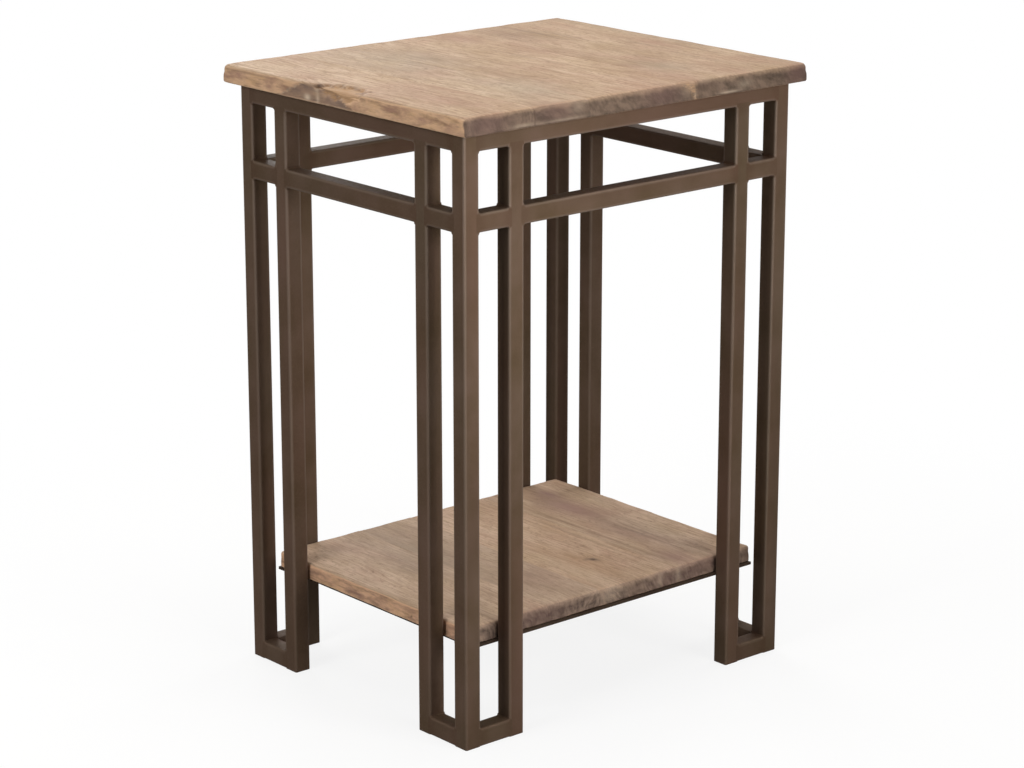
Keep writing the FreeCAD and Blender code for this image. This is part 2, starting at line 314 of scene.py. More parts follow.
# Post plugs: black nylon caps pushed up into the open feet, with thin fins that grip the bore.
# Nylon moulded in a spark-eroded tool comes out a dull black with a fine even grain, and the floor
# scuffs it grey.
MOULD_GRAIN = 0.8                  # 0.15 mm on a real plug: drawn coarser, so that it shows
SCUFF_SIZE = 6.0
plug_nylon, tree = finish_of("moulded_black_nylon")
place = add(tree, "ShaderNodeTexCoord").outputs["Object"]
grain = add(tree, "ShaderNodeTexNoise", {"Vector": place, "Scale": 1 / (MOULD_GRAIN * METRES),
                                         "Detail": 2.0}).outputs["Fac"]
scuff = add(tree, "ShaderNodeTexNoise", {"Vector": place, "Scale": 1 / (SCUFF_SIZE * METRES),
                                         "Detail": 4.0}).outputs["Fac"]
worn = add(tree, "ShaderNodeMapRange", {"Value": scuff, "From Min": 0.45, "From Max": 0.75,
                                        "To Max": 0.6}).outputs["Result"]
black = add(tree, "ShaderNodeMix", {SHARE: worn, UNDER: colour("#171615"), OVER: colour("#33302d")},
            data_type="RGBA").outputs[MIXED]
rough = add(tree, "ShaderNodeMapRange", {"Value": scuff, "To Min": 0.45, "To Max": 0.7}).outputs["Result"]
bump = add(tree, "ShaderNodeBump", {"Height": grain, "Strength": 0.3, "Distance": 0.0002}).outputs["Normal"]
shell = add(tree, "ShaderNodeBsdfPrincipled", {"Base Color": black, "Roughness": rough, "IOR": 1.53,
                                               "Normal": bump}).outputs[0]
add(tree, "ShaderNodeOutputMaterial", {"Surface": shell})
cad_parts["post_plugs"].material_slots[0].material = plug_nylon

# Shelf bars: four flat steel bars, 25 by 3 mm, that carry the shelf. The front and back ones are welded
# on the flat to the side posts, and the other two between them. Their bronze coat is made darker here, as
# painted shade for the shadow that the shelf's edge throws on them.
shaded_coat = powder_coat("shaded_bronze_powder_coat", thin="#382c24", thick="#45382e", liveliness=0.3)
for face in FACES:
    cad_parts[f"shelf_bar_{face}"].material_slots[0].material = shaded_coat

# Shelf planks: four boards of aged hardwood butted and glued along their length into one panel, then
# wire brushed, its edges scraped round by hand and a thin grey-brown stain rubbed over it.
GRID_STEP = 2.5
EDGE_LINES = np.array([0.0, 0.25, 0.6, 1.1, 1.8, 2.7, 3.9, 5.4, 7.4])      # crowded grid lines at an edge
EDGE_ZONE = 10.0
WAVES = 28


def drift(points, size, seed):
    """A smooth random swell of unit size: a sum of seeded plane waves, about one crest in each size."""
    random = np.random.default_rng(seed)
    heading = random.normal(size=(WAVES, 3))
    heading /= np.linalg.norm(heading, axis=1, keepdims=True)
    waves = heading * random.uniform(0.6, 1.5, (WAVES, 1)) * 2 * np.pi
    start = random.uniform(0, 2 * np.pi, WAVES)
    return np.cos((points / np.array(size)) @ waves.T + start).sum(axis=1) * np.sqrt(2 / WAVES)


def ease(value, low, high):
    """0 below low and 1 above high, with a smooth climb between them."""
    share = np.clip((value - low) / (high - low), 0, 1)
    return share * share * (3 - 2 * share)


def spot(points, place, size):
    """A round mark that fades out: a bell of height 1 at place, with a half width for each axis."""
    return np.exp(-((((points - np.array(place)) / np.array(size)) ** 2).sum(axis=1)))


def block(lines):
    """The skin of a box on three sets of grid lines: six grids that share the points on their edges."""
    counts = [len(values) for values in lines]
    index = np.arange(np.prod(counts)).reshape(counts)
    sheets = []
    for axis in range(3):
        for end, flip in ((-1, axis == 1), (0, axis != 1)):
            sheet = np.take(index, end, axis=axis)
            quads = np.stack([sheet[:-1, :-1], sheet[1:, :-1], sheet[1:, 1:], sheet[:-1, 1:]], axis=-1)
            quads = quads.reshape(-1, 4)
            sheets.append(quads[:, ::-1] if flip else quads)
    used, faces = np.unique(np.concatenate(sheets), return_inverse=True)
    steps = np.unravel_index(used, counts)
    points = np.stack([values[step] for values, step in zip(lines, steps)], axis=-1)
    return points, faces.reshape(-1, 4)


def lines_between(low, high):
    """Grid lines from low to high, crowded towards both ends and evenly spaced in between."""
    count = int(np.ceil((high - low - 2 * EDGE_ZONE) / GRID_STEP)) + 1
    middle = np.linspace(low + EDGE_ZONE, high - EDGE_ZONE, count)
    return np.concatenate([low + EDGE_LINES, middle, (high - EDGE_LINES)[::-1]])


UPPER_RADIUS = 3.9                 # the upper edges are scraped round
LOWER_RADIUS = 1.3                 # the lower ones only have their corner taken off
LEAST_RADIUS = 0.5
DEEPEST_RADIUS = 0.46              # of the board's depth
CORNER_REACH = 8.0                 # the panel's corners are worn rounder over this length
POCKET_DEPTH = 1.3
BITE_DEPTH = 3.0
SCRAPED_AWAY = 0.3                 # how much the scraper took off the sides on average
SEAM_DEPTH = 0.3
SEAM_WIDTH = 0.6
BOARD_APART = np.array([137.0, 911.0, 53.0])   # each board has a place of its own in the wood's patterns
STAIN_WRAP = 3.4                   # how far the stain of the face runs down over the ends
STAINS = ("grey", "rose", "torn", "pale", "dark")


def worn_plank(node, panel, log, material, slot, seed, corner, knots, chips, dents, marks, pocket):
    """One board of a panel. A box skin is pulled onto a rounded box: each point moves along the line from
    the nearest point of a smaller box inside until it lies one edge radius from it. The radius wanders
    along the edges, and grows at chips and at the panel's corners, so the edges look scraped by hand. The
    faces then swell and dip a little, dents, the bark pocket and the bite press in along the surface's own
    direction, and a fine groove opens at each seam. The growth rings are distances from a leaning pith
    line along Y, bent round the knots. Stains are sums of round marks."""
    low, high = (np.array(edge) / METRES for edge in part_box(node))
    panel_low, panel_high = panel
    depth = high[2] - low[2]
    rim = np.concatenate([EDGE_LINES[:-2], np.linspace(EDGE_LINES[-3], depth / 2, 4)[1:]])
    rim = np.unique(np.concatenate([rim, depth - rim]))
    sharp, faces = block([lines_between(low[0], high[0]), lines_between(low[1], high[1]), low[2] + rim])

    upper = ease(sharp[:, 2], low[2] + 0.35 * depth, low[2] + 0.65 * depth)
    radius_up = UPPER_RADIUS + 0.45 * drift(sharp, (45, 45, 90), seed)
    radius_up = radius_up + 0.2 * drift(sharp, (17, 17, 90), seed + 1)
    radius_low = LOWER_RADIUS + 0.25 * drift(sharp, (30, 30, 90), seed + 2)
    to_corner = np.hypot(*(np.minimum(sharp - panel_low, panel_high - sharp)[:, :2].T))
    radius = radius_low + upper * (radius_up - radius_low)
    radius = radius + corner * np.exp(-(to_corner / CORNER_REACH) ** 2)
    for place, size, deeper in chips:
        radius = radius + deeper * spot(sharp, place, size) * upper
    radius = np.clip(radius, LEAST_RADIUS, DEEPEST_RADIUS * depth)[:, None]
    inner = np.clip(sharp, panel_low + radius, panel_high - radius)
    away = sharp - inner
    reach = np.abs(away).max(axis=1, keepdims=True)
    outward = away / np.maximum(np.linalg.norm(away, axis=1, keepdims=True), 1e-9)
    points = inner + outward * reach

    skin = reach[:, 0] / radius[:, 0]          # 1 on the panel's skin, less at the glued faces inside it
    sideways = 1 - outward[:, 2] ** 2
    pitted, bite = pocket(sharp)
    bark = pitted * sideways
    swell = sideways * (0.25 * drift(sharp, (60, 60, 90), seed + 3) - SCRAPED_AWAY)
    swell -= POCKET_DEPTH * bark
    swell -= BITE_DEPTH * bite
    swell += outward[:, 1] ** 2 * 0.06 * drift(sharp, (7, 7, 12), seed + 4)
    swell += np.maximum(outward[:, 2], 0) * 0.1 * drift(sharp, (30, 80, 60), seed + 5)
    for place, size, dent in dents:
        swell -= dent * spot(sharp, place, size)
    for seam in (low[0], high[0]):
        if panel_low[0] < seam < panel_high[0]:
            groove = np.exp(-((sharp[:, 0] - seam) / SEAM_WIDTH) ** 2)
            swell -= SEAM_DEPTH * groove * outward[:, 1] ** 2
    points = points + outward * (swell * skin)[:, None]

    pith_x, pith_z, lean_x, lean_z, slant, dull = log
    bend = 2.4 * drift(sharp, (40, 260, 40), seed + 6) + 0.8 * drift(sharp, (12, 110, 12), seed + 7)
    for place, size, push in knots:
        bend = bend + push * spot(sharp, place, size)
    ring = np.hypot(sharp[:, 0] - pith_x - lean_x * sharp[:, 1],
                    sharp[:, 2] - pith_z - lean_z * sharp[:, 1])
    fibre = sharp + BOARD_APART * (seed + 1)
    fibre[:, 0] += bend + slant * (sharp[:, 2] - low[2])

    ragged = 0.8 * drift(sharp, (24, 24, 12), seed + 8) + 0.3 * drift(sharp, (8, 8, 6), seed + 11)
    below = ease(high[2] - STAIN_WRAP + ragged - sharp[:, 2], -3.0, 3.0)
    end = ease(outward[:, 1] ** 2 * skin, 0.0, 0.3 + 0.4 * outward[:, 2] ** 2) * (0.6 + 0.4 * below)
    side = ease(outward[:, 0] ** 2 * skin, 0.35, 1.0)
    stains = {kind: np.zeros(len(sharp)) for kind in STAINS}
    for kind, spots in marks.items():
        for place, size, amount in spots:
            stains[kind] += amount * spot(sharp, place, size)
    stains["grey"] += dull
    stains["pale"] += 1.2 * bark * (1 - pitted)                    # a pale rim round the bark
    stains["torn"] += 1.4 * bite
    stains["dark"] += 2 * bite * (1 - bite) * (1 - sideways)       # a darker line round the bite's rim on the face
    return piece("worn_" + node, points, faces.tolist(), material, slot, node, ring=ring + bend, fibre=fibre,
                 end=end, side=side, bark=bark, **stains)


def aged_wood(name, pale, tan, brown, ash, rose, raw, end_dark, end_pale, ring_width, streak_width, contrast):
    """Aged, wire-brushed hardwood under a thin stain. The rings run as long broken lines on the faces and
    as arcs on the ends, with short dark pores between them. Ends drink more stain and go a blotchy grey
    brown, scraped and torn places show the raw orange wood, and knots and bark are dark. contrast is how
    strongly the dark lines show on the faces."""
    material, tree = finish_of(name)
    fibre = add(tree, "ShaderNodeAttribute", attribute_name="fibre").outputs["Vector"]
    on = {}
    for layer in ("ring", "end", "side", "bark") + STAINS:
        on[layer] = add(tree, "ShaderNodeAttribute", attribute_name=layer).outputs["Fac"]
    grain = {}
    for pattern, across, along, upright, detail in (
            ("fine", 1.6, 28, 1.6, 3.0),               # brushed fibres are 0.3 mm wide: drawn coarser to show
            ("pore", 1.6, 6, 1.6, 2.0),                # pores are 0.2 by 3 mm: drawn coarser to show
            ("band", 7, 90, 7, 3.0),                   # bands of early and late wood
            ("mottle", 9, 24, 9, 4.0),                 # where the stain took unevenly
            ("cloud", 60, 150, 60, 3.0),               # slow drift of the wood's own colour
            ("blotch", 17, 60, 11, 5.0),               # stain soaked into the ends
            ("streak", streak_width, 60, 13, 4.0),     # torn fibres down the ends
            ("fleck", 30, 26, 5.5, 5.0),               # scraper marks along the long sides
            ("patch", 30, 34, 11, 5.0),                # where the scraper bit deeper into them
            ("tint", 36, 70, 36, 4.0)):                # the wood's drift between yellow and pink
        scaled = add(tree, "ShaderNodeVectorMath", {0: fibre, 1: (1 / across, 1 / along, 1 / upright)},
                     operation="MULTIPLY").outputs[0]
        grain[pattern] = add(tree, "ShaderNodeTexNoise", {"Vector": scaled, "Scale": 1.0, "Detail": detail,
                                                          "Roughness": 0.6}).outputs["Fac"]

    # a growth ring darkens slowly towards its late wood and stops short
    turn = add(tree, "ShaderNodeMath", {0: on["ring"], 1: 1 / ring_width, 2: grain["band"]},
               operation="MULTIPLY_ADD").outputs[0]
    phase = add(tree, "ShaderNodeMath", {0: turn}, operation="FRACT").outputs[0]
    late = add(tree, "ShaderNodeMapRange", {"Value": phase, "From Min": 0.3, "From Max": 0.9},
               interpolation_type="SMOOTHSTEP").outputs["Result"]
    stop = add(tree, "ShaderNodeMapRange", {"Value": phase, "From Min": 0.85, "From Max": 1.0,
                                            "To Min": 1.0, "To Max": 0.0}).outputs["Result"]
    late = add(tree, "ShaderNodeMath", {0: late, 1: stop}, operation="MULTIPLY").outputs[0]

    # faces and long sides, one thin colour over another; on the scraped sides the stain is thin
    drifted = add(tree, "ShaderNodeMapRange", {"Value": grain["cloud"], "From Min": 0.35,
                                               "From Max": 0.65}).outputs["Result"]
    wood = add(tree, "ShaderNodeMix", {SHARE: drifted, UNDER: colour(pale), OVER: colour(tan)},
               data_type="RGBA").outputs[MIXED]
    broken = add(tree, "ShaderNodeMath", {0: late, 1: grain["mottle"]}, operation="MULTIPLY").outputs[0]
    dulled = add(tree, "ShaderNodeMath", {0: on["grey"], 1: grain["cloud"]}, operation="MULTIPLY").outputs[0]
    blushed = add(tree, "ShaderNodeMath", {0: on["rose"], 1: grain["band"]}, operation="MULTIPLY").outputs[0]
    scraped = add(tree, "ShaderNodeMath", {0: grain["fleck"], 1: on["side"]}, operation="MULTIPLY").outputs[0]
    bitten = add(tree, "ShaderNodeMath", {0: grain["patch"], 1: on["side"]}, operation="MULTIPLY").outputs[0]
    bare = add(tree, "ShaderNodeMath", {0: on["side"], 1: bitten}, operation="SUBTRACT").outputs[0]
    for value, least, most, share, code in (
            (grain["tint"], 0.5, 0.7, 0.35, "#b59a72"),            # drift to yellow
            (grain["tint"], 0.5, 0.3, 0.4, "#b98f7a"),             # and to pink
            (broken, 0.1, 0.6, 0.9 * contrast, brown),             # rings, broken into lengths
            (grain["mottle"], 0.45, 0.75, 0.6 * contrast, brown),
            (grain["fine"], 0.42, 0.75, 1.6 * contrast, brown),
            (grain["band"], 0.52, 0.75, 0.25, pale),
            (grain["pore"], 0.56, 0.7, 1.8 * contrast, brown),
            (dulled, 0.0, 1.0, 1.0, ash),
            (blushed, 0.0, 1.0, 1.0, rose),
            (on["side"], 0.0, 1.0, 0.6, raw),
            (scraped, 0.47, 0.68, 0.75, brown),
            (bitten, 0.48, 0.68, 0.7, rose),
            (bare, 0.5, 0.68, 0.7, "#ddb388")):                    # freshest wood between the scraper's bites
        amount = add(tree, "ShaderNodeMapRange", {"Value": value, "From Min": least, "From Max": most,
                                                  "To Max": share}).outputs["Result"]
        wood = add(tree, "ShaderNodeMix", {SHARE: amount, UNDER: wood, OVER: colour(code)},
                   data_type="RGBA").outputs[MIXED]

    # ends: blotches and streaks of soaked-in stain, a little darker in the late wood
    soaked = add(tree, "ShaderNodeMapRange", {"Value": grain["blotch"], "From Min": 0.3,
                                              "From Max": 0.7}).outputs["Result"]
    sawn = add(tree, "ShaderNodeMath", {0: grain["streak"], 1: 2.0, 2: -1.0},
               operation="MULTIPLY_ADD").outputs[0]
    tone = add(tree, "ShaderNodeMath", {0: soaked, 1: sawn}, operation="ADD").outputs[0]
    tone = add(tree, "ShaderNodeMath", {0: late, 1: -0.12, 2: tone}, operation="MULTIPLY_ADD",
               use_clamp=True).outputs[0]
    cut = add(tree, "ShaderNodeMix", {SHARE: tone, UNDER: colour(end_dark), OVER: colour(end_pale)},
              data_type="RGBA").outputs[MIXED]
    flush = add(tree, "ShaderNodeMath", {0: on["rose"], 1: 0.5}, operation="MULTIPLY",
                use_clamp=True).outputs[0]
    cut = add(tree, "ShaderNodeMix", {SHARE: flush, UNDER: cut, OVER: colour("#69504a")},
              data_type="RGBA").outputs[MIXED]
    wood = add(tree, "ShaderNodeMix", {SHARE: on["end"], UNDER: wood, OVER: cut},
               data_type="RGBA").outputs[MIXED]

    # bark, torn fibres, and pale and dark marks over all of it
    barked = add(tree, "ShaderNodeMapRange", {"Value": grain["fleck"], "From Min": 0.35, "From Max": 0.65,
                                              "To Min": 0.65, "To Max": 1.0}).outputs["Result"]
    barked = add(tree, "ShaderNodeMath", {0: barked, 1: on["bark"]}, operation="MULTIPLY").outputs[0]
    strands = add(tree, "ShaderNodeMapRange", {"Value": grain["fine"], "From Min": 0.35,
                                               "From Max": 0.6}).outputs["Result"]
    torn = add(tree, "ShaderNodeMath", {0: on["torn"], 1: strands}, operation="MULTIPLY").outputs[0]
    for amount, code in (
            (barked, "#8a7364"), (torn, "#b18d6a"), (on["pale"], "#ecd6ba"), (on["dark"], "#4e3c33")):
        held = add(tree, "ShaderNodeClamp", {"Value": amount}).outputs[0]
        wood = add(tree, "ShaderNodeMix", {SHARE: held, UNDER: wood, OVER: colour(code)},
                   data_type="RGBA").outputs[MIXED]

    # brushing leaves the late wood standing and opens the pores, and the ends are left lumpy
    rough = add(tree, "ShaderNodeMapRange", {"Value": grain["fine"], "From Min": 0.3, "From Max": 0.7,
                                             "To Min": 0.55, "To Max": 0.75}).outputs["Result"]
    hacked = add(tree, "ShaderNodeMath", {0: on["end"], 1: grain["blotch"]}, operation="MULTIPLY").outputs[0]
    relief = grain["fine"]
    for value, height in ((late, 0.4), (grain["pore"], -0.8), (hacked, 2.0)):
        relief = add(tree, "ShaderNodeMath", {0: value, 1: height, 2: relief},
                     operation="MULTIPLY_ADD").outputs[0]
    bump = add(tree, "ShaderNodeBump", {"Height": relief, "Strength": 0.35,
                                        "Distance": 0.0005}).outputs["Normal"]
    shell = add(tree, "ShaderNodeBsdfPrincipled", {"Base Color": wood, "Roughness": rough, "IOR": 1.5,
                                                   "Specular IOR Level": 0.1, "Normal": bump}).outputs[0]
    add(tree, "ShaderNodeOutputMaterial", {"Surface": shell})
    return material


BOARDS = 4


def panel_of(prefix):
    """Lowest and highest corner of the whole panel, from its boards."""
    corners = np.array([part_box(f"{prefix}_{i + 1}") for i in range(BOARDS)]) / METRES
    return corners[:, 0].min(axis=0), corners[:, 1].max(axis=0)


def whole(points):
    """A board with no bark pocket and no bite in its edge."""
    return np.zeros(len(points)), np.zeros(len(points))


shelf_wood = aged_wood("brushed_hardwood_shelf", pale="#d9ba9e", tan="#bf9e80", brown="#866852",
                       ash="#877b6e", rose="#967468", raw="#ffc9a0", end_dark="#5d4e45",
                       end_pale="#9c8472", ring_width=5.0, streak_width=4.0, contrast=0.3)
shelf_panel = panel_of("shelf_plank")
# marks, dents and knots: where the middle is, how wide along each axis, and how strong
shelf_marks = {
    "grey": [((-110, 60, 119), (40, 90, 20), 0.5), ((150, -60, 119), (22, 90, 20), 0.45)],
    "rose": [((138, 66, 119), (20, 46, 30), 1.3), ((152, 120, 119), (16, 20, 30), 1.0),
             ((110, -135, 119), (18, 26, 30), 1.2), ((128, -50, 119), (16, 60, 30), 0.8),
             # on the front ends
             ((-105, -158, 110), (40, 6, 12), 1.0), ((76, -158, 110), (26, 6, 12), 0.9),
             ((140, -158, 112), (26, 6, 10), 1.1)],
    "torn": [((24, -84, 119), (18, 34, 8), 0.6)],
    "pale": [((180, 66, 119), (16, 22, 8), 0.15), ((92.5, 0, 119), (1.2, 120, 8), 0.3),
             ((104, -20, 119), (1.0, 100, 8), 0.2), ((0, -110, 119), (16, 60, 8), 0.15),
             # on the front ends
             ((-6, -158, 110), (12, 5, 10), 0.12), ((66, -158, 110), (3, 5, 10), 0.2),
             ((92, -158, 110), (4, 5, 10), 0.18)],
    "dark": [# on the front ends
             # the mark at the right-hand end is painted shadow of the right leg's tubes
             ((30, -158, 110), (13, 5, 10), 0.45), ((197, -158, 110), (13, 5, 12), 0.55),
             # the knot
             ((38.5, -82, 119), (3.4, 3.8, 6), 1.0), ((33.5, -77.5, 119), (4, 3, 6), 0.5),
             ((41, -87, 119), (2.4, 5, 6), 0.35),
             # streaks on the right half
             ((79, 0, 119), (1.2, 110, 8), 0.24), ((98.5, -10, 119), (1.4, 110, 8), 0.32),
             ((120, -20, 119), (1.2, 90, 8), 0.26), ((135.5, -50, 119), (1.5, 60, 8), 0.4),
             ((144.5, -55, 119), (1.5, 55, 8), 0.28),
             # on the left edge
             ((-198, -66, 107), (2, 1.2, 1.2), 0.9), ((-198, 20, 114), (2, 150, 0.8), 0.25)]}
shelf_dents = [((-198, -60, 108), (5, 30, 6), 0.4)]
shelf_knots = [((37.5, -81.5, 119), (7, 20, 12), 9.0)]
# each board's log: x and z of its pith, the pith's lean in x and z, the fibres' slant on the ends, dullness
shelf_logs = [(-260.0, 60.0, 0.01, 0.0, 0.3, 0.3), (-56.0, 190.0, 0.02, 0.05, 0.0, 0.5),
              (120.0, 160.0, -0.015, 0.0, 0.5, 0.0), (110.0, 40.0, 0.02, 0.02, 0.4, 0.2)]
for i, log in enumerate(shelf_logs):
    worn_plank(f"shelf_plank_{i + 1}", shelf_panel, log, shelf_wood, "shelf_wood", seed=40 + 11 * i,
               corner=0.4, knots=shelf_knots, chips=[], dents=shelf_dents, marks=shelf_marks, pocket=whole)

# Shelf screws and top screws: zinc-plated wafer-head wood screws, driven up through the flat bars and the
# top rails into the boards. Zinc over steel goes a soft dull grey with slight cloudiness.
CLOUD_SIZE = 3.0
TURNING_MARK = 0.5                 # 0.1 mm on a real screw: drawn coarser, so that it shows
zinc_plate, tree = finish_of("zinc_plated_steel")
place = add(tree, "ShaderNodeTexCoord").outputs["Object"]
cloud = add(tree, "ShaderNodeTexNoise", {"Vector": place, "Scale": 1 / (CLOUD_SIZE * METRES),
                                         "Detail": 4.0}).outputs["Fac"]
turned = add(tree, "ShaderNodeTexNoise", {"Vector": place, "Scale": 1 / (TURNING_MARK * METRES),
                                          "Detail": 1.0}).outputs["Fac"]
grey = add(tree, "ShaderNodeMix", {SHARE: cloud, UNDER: colour("#6f6e6b"), OVER: colour("#928f8a")},
           data_type="RGBA").outputs[MIXED]
rough = add(tree, "ShaderNodeMapRange", {"Value": cloud, "To Min": 0.4, "To Max": 0.6}).outputs["Result"]
bump = add(tree, "ShaderNodeBump", {"Height": turned, "Strength": 0.15,
                                    "Distance": 0.0001}).outputs["Normal"]
shell = add(tree, "ShaderNodeBsdfPrincipled", {"Base Color": grey, "Metallic": 1.0, "Roughness": rough,
                                               "Normal": bump}).outputs[0]
add(tree, "ShaderNodeOutputMaterial", {"Surface": shell})
for screws in ("shelf_screws", "top_screws"):
    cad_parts[screws].material_slots[0].material = zinc_plate

# Top planks: four wider boards made as the shelf is, a little paler, with an edge that was scraped and
# chipped by hand, a bark pocket and a chip on the left edge, and a torn place at the right-hand seam.
top_wood = aged_wood("brushed_hardwood_top", pale="#cdb194", tan="#b39478", brown="#876950",
                     ash="#958a7a", rose="#a27b6c", raw="#efc299", end_dark="#4d4036",
                     end_pale="#746152", ring_width=5.5, streak_width=8.0, contrast=0.38)
top_panel = panel_of("top_plank")
top_marks = {
    "grey": [((-83, -110, 648), (34, 56, 20), 0.7), ((-70, 90, 648), (50, 80, 20), 0.6),
             ((105, -120, 648), (24, 30, 20), 0.6), ((224, 20, 648), (9, 180, 20), 0.5),
             # on the front ends
             ((85, -195, 640), (12, 6, 9), 0.9)],
    "rose": [((57, 155, 648), (18, 30, 20), 0.8), ((60, -150, 648), (60, 40, 20), 0.5),
             ((-180, -90, 648), (24, 90, 20), 0.4), ((196, -20, 648), (8, 32, 20), 0.7),
             ((62, 45, 648), (28, 40, 20), 0.4),
             # on the front ends
             ((-205, -195, 638), (26, 8, 12), 1.0), ((-115, -195, 640), (26, 8, 12), 0.8),
             ((216, -195, 638), (16, 8, 12), 1.2), ((25, -195, 638), (28, 8, 12), 0.9)],
    "torn": [# fibres pulled out beside the right-hand seam, slanting down to it
             ((61, -195, 645), (9, 6, 4), 0.7), ((65, -195, 641), (4, 8, 4), 0.6),
             ((68.5, -195, 636), (3, 8, 5), 0.6), ((71, -195, 631), (2.5, 8, 4), 0.5)],
    "pale": [((5, -72, 648), (2.0, 38, 8), 0.35),
             # on the front ends
             ((-89, -195, 641), (9, 6, 6), 0.1), ((139, -195, 637), (10, 6, 4), 0.14),
             ((58, -195, 640), (10, 6, 8), 0.06), ((70, -195, 633), (2, 6, 3), 0.15),
             # raw wood along their lower edge
             ((118, -195, 631.5), (13, 6, 1.2), 0.3), ((-158, -195, 632), (13, 6, 1.6), 0.18),
             ((-108, -195, 631.5), (28, 6, 1.3), 0.16),
             # in the bark pocket
             ((-231, 53, 633), (4, 4.6, 3.2), 0.8), ((-231, 36, 634), (4, 2.6, 6), 0.45),
             ((-231, 38, 643), (4, 3, 3), 0.3)],
    "dark": [# the seams on the front ends, and beside the torn place
             ((-144, -195, 642), (0.9, 6, 6), 0.5), ((-73, -195, 641), (0.9, 6, 5), 0.4),
             ((75, -195, 642), (1.2, 6, 5), 0.5), ((88, -195, 643), (13, 6, 6), 0.3),
             # streaks on the face
             ((33, 22, 648), (1.8, 52, 8), 0.3), ((140, 140, 648), (4, 62, 8), 0.28),
             ((181, -8, 648), (3, 34, 8), 0.24), ((115, 142, 648), (18, 50, 8), 0.18),
             ((153, 85, 648), (3, 50, 8), 0.2), ((170, -90, 648), (3, 40, 8), 0.2),
             ((128, -60, 648), (2.5, 50, 8), 0.15), ((205, -60, 648), (3, 60, 8), 0.2),
             ((96, 110, 648), (3, 40, 8), 0.15), ((103, -80, 648), (12, 22, 8), 0.12),
             # above the bark pocket, and a line along the left edge
             ((-227, 36, 648), (6, 5, 4), 0.55), ((-231, 150, 644.5), (3, 45, 1.3), 0.5)]}
top_dents = [((69, -195, 645), (5, 8, 7), 1.6), ((-144, -195, 648), (3, 8, 6), 0.9),
             ((-73, -195, 648), (4, 8, 6), 0.9)]
top_chips = [((-231, 2, 648), (22, 30, 30), 2.5), ((69, -195, 648), (7, 20, 30), 2.0),
             ((-144, -195, 648), (4, 20, 30), 1.4), ((-73, -195, 648), (5, 20, 30), 1.2)]
top_knots = [((-231, 38, 640), (22, 34, 26), 14.0), ((5, -70, 648), (5, 40, 10), 3.0)]
top_logs = [(-300.0, 590.0, 0.02, 0.0, 0.3, 0.0), (-108.0, 560.0, 0.015, 0.02, 0.9, 0.2),
            (90.0, 720.0, -0.02, 0.0, 0.8, 0.0), (300.0, 690.0, 0.02, 0.03, 0.9, 0.1)]
POCKET_BACK, POCKET_FRONT = 57.0, 18.0       # where the pocket meets the upper edge
POCKET_SPREAD = 43.0                         # how much further it goes each way at the lower edge
POCKET_INTO, POCKET_FADE = 9.0, 6.0          # how far it goes into the board, and over what it dies out
BITE_MIDDLE = 2.0
BITE_HALF = (25.0, 38.0, 13.0)


def bark_pocket(points):
    """A wedge of bark in the left edge: a band along Y whose two flanks lean apart towards the bottom,
    ragged by a few millimetres, and that dies out a short way into the board. In front of it a chip has
    come off the upper edge: the part of an ellipsoid round a point on that edge, with a crisp rim."""
    low, high = top_panel
    down = (high[2] - points[:, 2]) / (high[2] - low[2])
    ragged = 2.5 * drift(points, (9, 9, 6), 91)
    behind = ease(POCKET_BACK + POCKET_SPREAD * down - points[:, 1] + ragged, -1.5, 2.5)
    ahead = ease(points[:, 1] - POCKET_FRONT + POCKET_SPREAD * down ** 1.2 + ragged, -1.5, 2.5)
    bark = behind * ahead * ease(low[0] + POCKET_INTO - points[:, 0], 0, POCKET_FADE)
    from_bite = (points - np.array([low[0], BITE_MIDDLE, high[2]])) / np.array(BITE_HALF)
    bite = ease(1 - (from_bite ** 2).sum(axis=1) + 0.12 * drift(points, (14, 14, 14), 97), 0.0, 0.4)
    return bark, bite


for i, log in enumerate(top_logs):
    worn_plank(f"top_plank_{i + 1}", top_panel, log, top_wood, "top_wood", seed=3 + 7 * i, corner=1.0,
               knots=top_knots, chips=top_chips, dents=top_dents, marks=top_marks, pocket=bark_pocket)

# Studio floor: matt white paint that runs out into white. Close to the table it shows a part of the
# table's true shadow. It throws back less light than it shows, so that the table's lower parts stay as
# dark as they are over a dull floor.
FLOOR_HALF = 6.0                   # metres, as all sizes of the studio
SHADOW_SHARE = 0.16
SHADOW_NEAR, SHADOW_FAR = 0.45, 1.1


def shown(tree):
    """1 where the camera looks, also by way of a reflection or through glass, and 0 for falling light."""
    rays = add(tree, "ShaderNodeLightPath").outputs
    seen = rays["Is Camera Ray"]
    for ray in ("Is Glossy Ray", "Is Transmission Ray"):
        seen = add(tree, "ShaderNodeMath", {0: seen, 1: rays[ray]}, operation="MAXIMUM").outputs[0]
    return seen


floor_paint, tree = finish_of("matt_white_floor_paint")
seen = shown(tree)
place = add(tree, "ShaderNodeTexCoord").outputs["Object"]
away = add(tree, "ShaderNodeVectorMath", {0: place}, operation="LENGTH").outputs["Value"]
white = add(tree, "ShaderNodeMapRange", {"Value": away, "From Min": SHADOW_NEAR, "From Max": SHADOW_FAR,
                                         "To Min": 1 - SHADOW_SHARE, "To Max": 1.0},
            interpolation_type="SMOOTHSTEP").outputs["Result"]
share = add(tree, "ShaderNodeMath", {0: seen, 1: white}, operation="MULTIPLY").outputs[0]
paint = add(tree, "ShaderNodeMix", {SHARE: seen, UNDER: colour("#6e6d6b"), OVER: colour("#f7f6f4")},
            data_type="RGBA").outputs[MIXED]
matt = add(tree, "ShaderNodeBsdfDiffuse", {"Color": paint}).outputs[0]
glow = add(tree, "ShaderNodeEmission", {"Color": (1, 1, 1, 1), "Strength": 1.0}).outputs[0]
mixed = add(tree, "ShaderNodeMixShader", {0: share, 1: matt, 2: glow}).outputs[0]
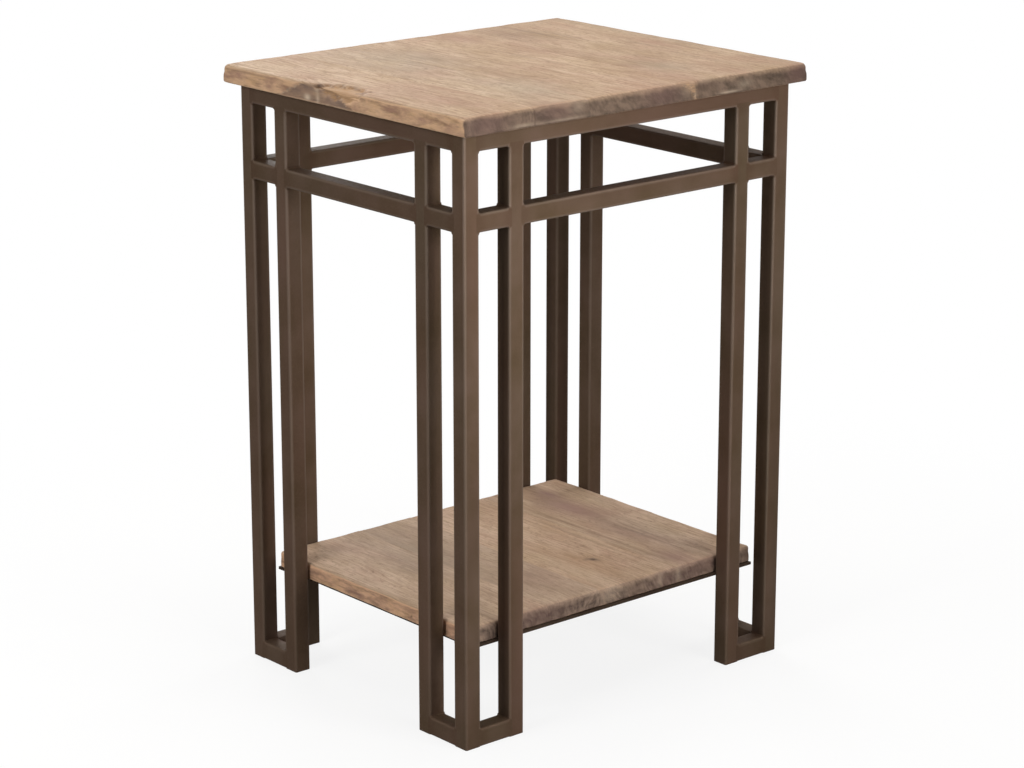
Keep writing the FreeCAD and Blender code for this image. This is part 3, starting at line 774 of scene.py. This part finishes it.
add(tree, "ShaderNodeOutputMaterial", {"Surface": mixed})
mesh = bpy.data.meshes.new("studio_floor")
mesh.from_pydata([(-FLOOR_HALF, -FLOOR_HALF, 0), (FLOOR_HALF, -FLOOR_HALF, 0),
                  (FLOOR_HALF, FLOOR_HALF, 0), (-FLOOR_HALF, FLOOR_HALF, 0)], [], [(0, 1, 2, 3)])
mesh.materials.append(floor_paint)
floor = bpy.data.objects.new("studio_floor", mesh)
bpy.context.scene.collection.objects.link(floor)

# Studio light: an even room and five soft boxes, overhead, low in front, weak ones at the left and right,
# and one behind. A lamp's share is how bright it alone makes a white surface that faces it at the point
# it aims at, where 1 is white. They stand on different sides, so that no surface faces them all.
ROOM_SHARE = 0.13
world = bpy.data.worlds.new("studio_room")
world.use_nodes = True
world.node_tree.nodes.clear()
tree = world.node_tree
room = add(tree, "ShaderNodeBackground", {"Color": (1, 1, 1, 1), "Strength": ROOM_SHARE}).outputs[0]
white = add(tree, "ShaderNodeBackground", {"Color": (1, 1, 1, 1), "Strength": 1.0}).outputs[0]
mixed = add(tree, "ShaderNodeMixShader", {0: shown(tree), 1: room, 2: white}).outputs[0]
add(tree, "ShaderNodeOutputWorld", {"Surface": mixed})
bpy.context.scene.world = world
for name, place, aim, size, spread, share in (
        ("overhead", (0.1, 0.1, 2.9), (0.0, 0.0, 0.35), 2.2, 180, 0.55),
        ("front", (0.0, -1.6, 0.78), (-0.5, 0.0, 0.78), 1.0, 105, 1.28),
        ("left", (-2.5, -0.2, 1.5), (0.0, 0.0, 0.35), 1.1, 180, 0.42),
        ("right", (2.6, 0.3, 1.3), (0.0, 0.0, 0.35), 1.6, 180, 0.3),
        ("behind", (0.8, 2.5, 1.5), (0.0, 0.0, 0.35), 1.6, 180, 0.4)):
    lamp = bpy.data.lights.new(name, "AREA")
    lamp.shape = "SQUARE"
    lamp.size = size
    lamp.spread = np.radians(spread)
    way = Vector(aim) - Vector(place)
    # a narrower spread gathers the lamp's power, and beam is how much brighter that makes its middle
    beam = np.tan(lamp.spread / 2) / (np.tan(lamp.spread / 2) - lamp.spread / 2)
    lamp.energy = share * np.pi ** 2 * way.length_squared / beam
    box = bpy.data.objects.new(name, lamp)
    box.location = place
    box.rotation_mode = "QUATERNION"
    box.rotation_quaternion = way.to_track_quat("-Z", "Y")
    box.visible_camera = False
    bpy.context.scene.collection.objects.link(box)

# Camera: a long lens a little above the table top, looking down onto the near corner, between the
# frame's front and left faces, as the photograph does.
CAMERA_PLACE = (-2.0496, -2.3757, 1.2002)
CAMERA_HEADING = np.radians(49.28)
CAMERA_DOWN = np.radians(15.95)
lens = bpy.data.cameras.new("camera")
lens.sensor_width = 36.0
lens.lens = 107.85
camera = bpy.data.objects.new("camera", lens)
camera.location = CAMERA_PLACE
camera.rotation_mode = "QUATERNION"
camera.rotation_quaternion = Vector((np.cos(CAMERA_HEADING) * np.cos(CAMERA_DOWN),
                                     np.sin(CAMERA_HEADING) * np.cos(CAMERA_DOWN),
                                     -np.sin(CAMERA_DOWN))).to_track_quat("-Z", "Y")
bpy.context.scene.collection.objects.link(camera)
bpy.context.scene.camera = camera
bpy.context.scene.view_settings.view_transform = "Standard"
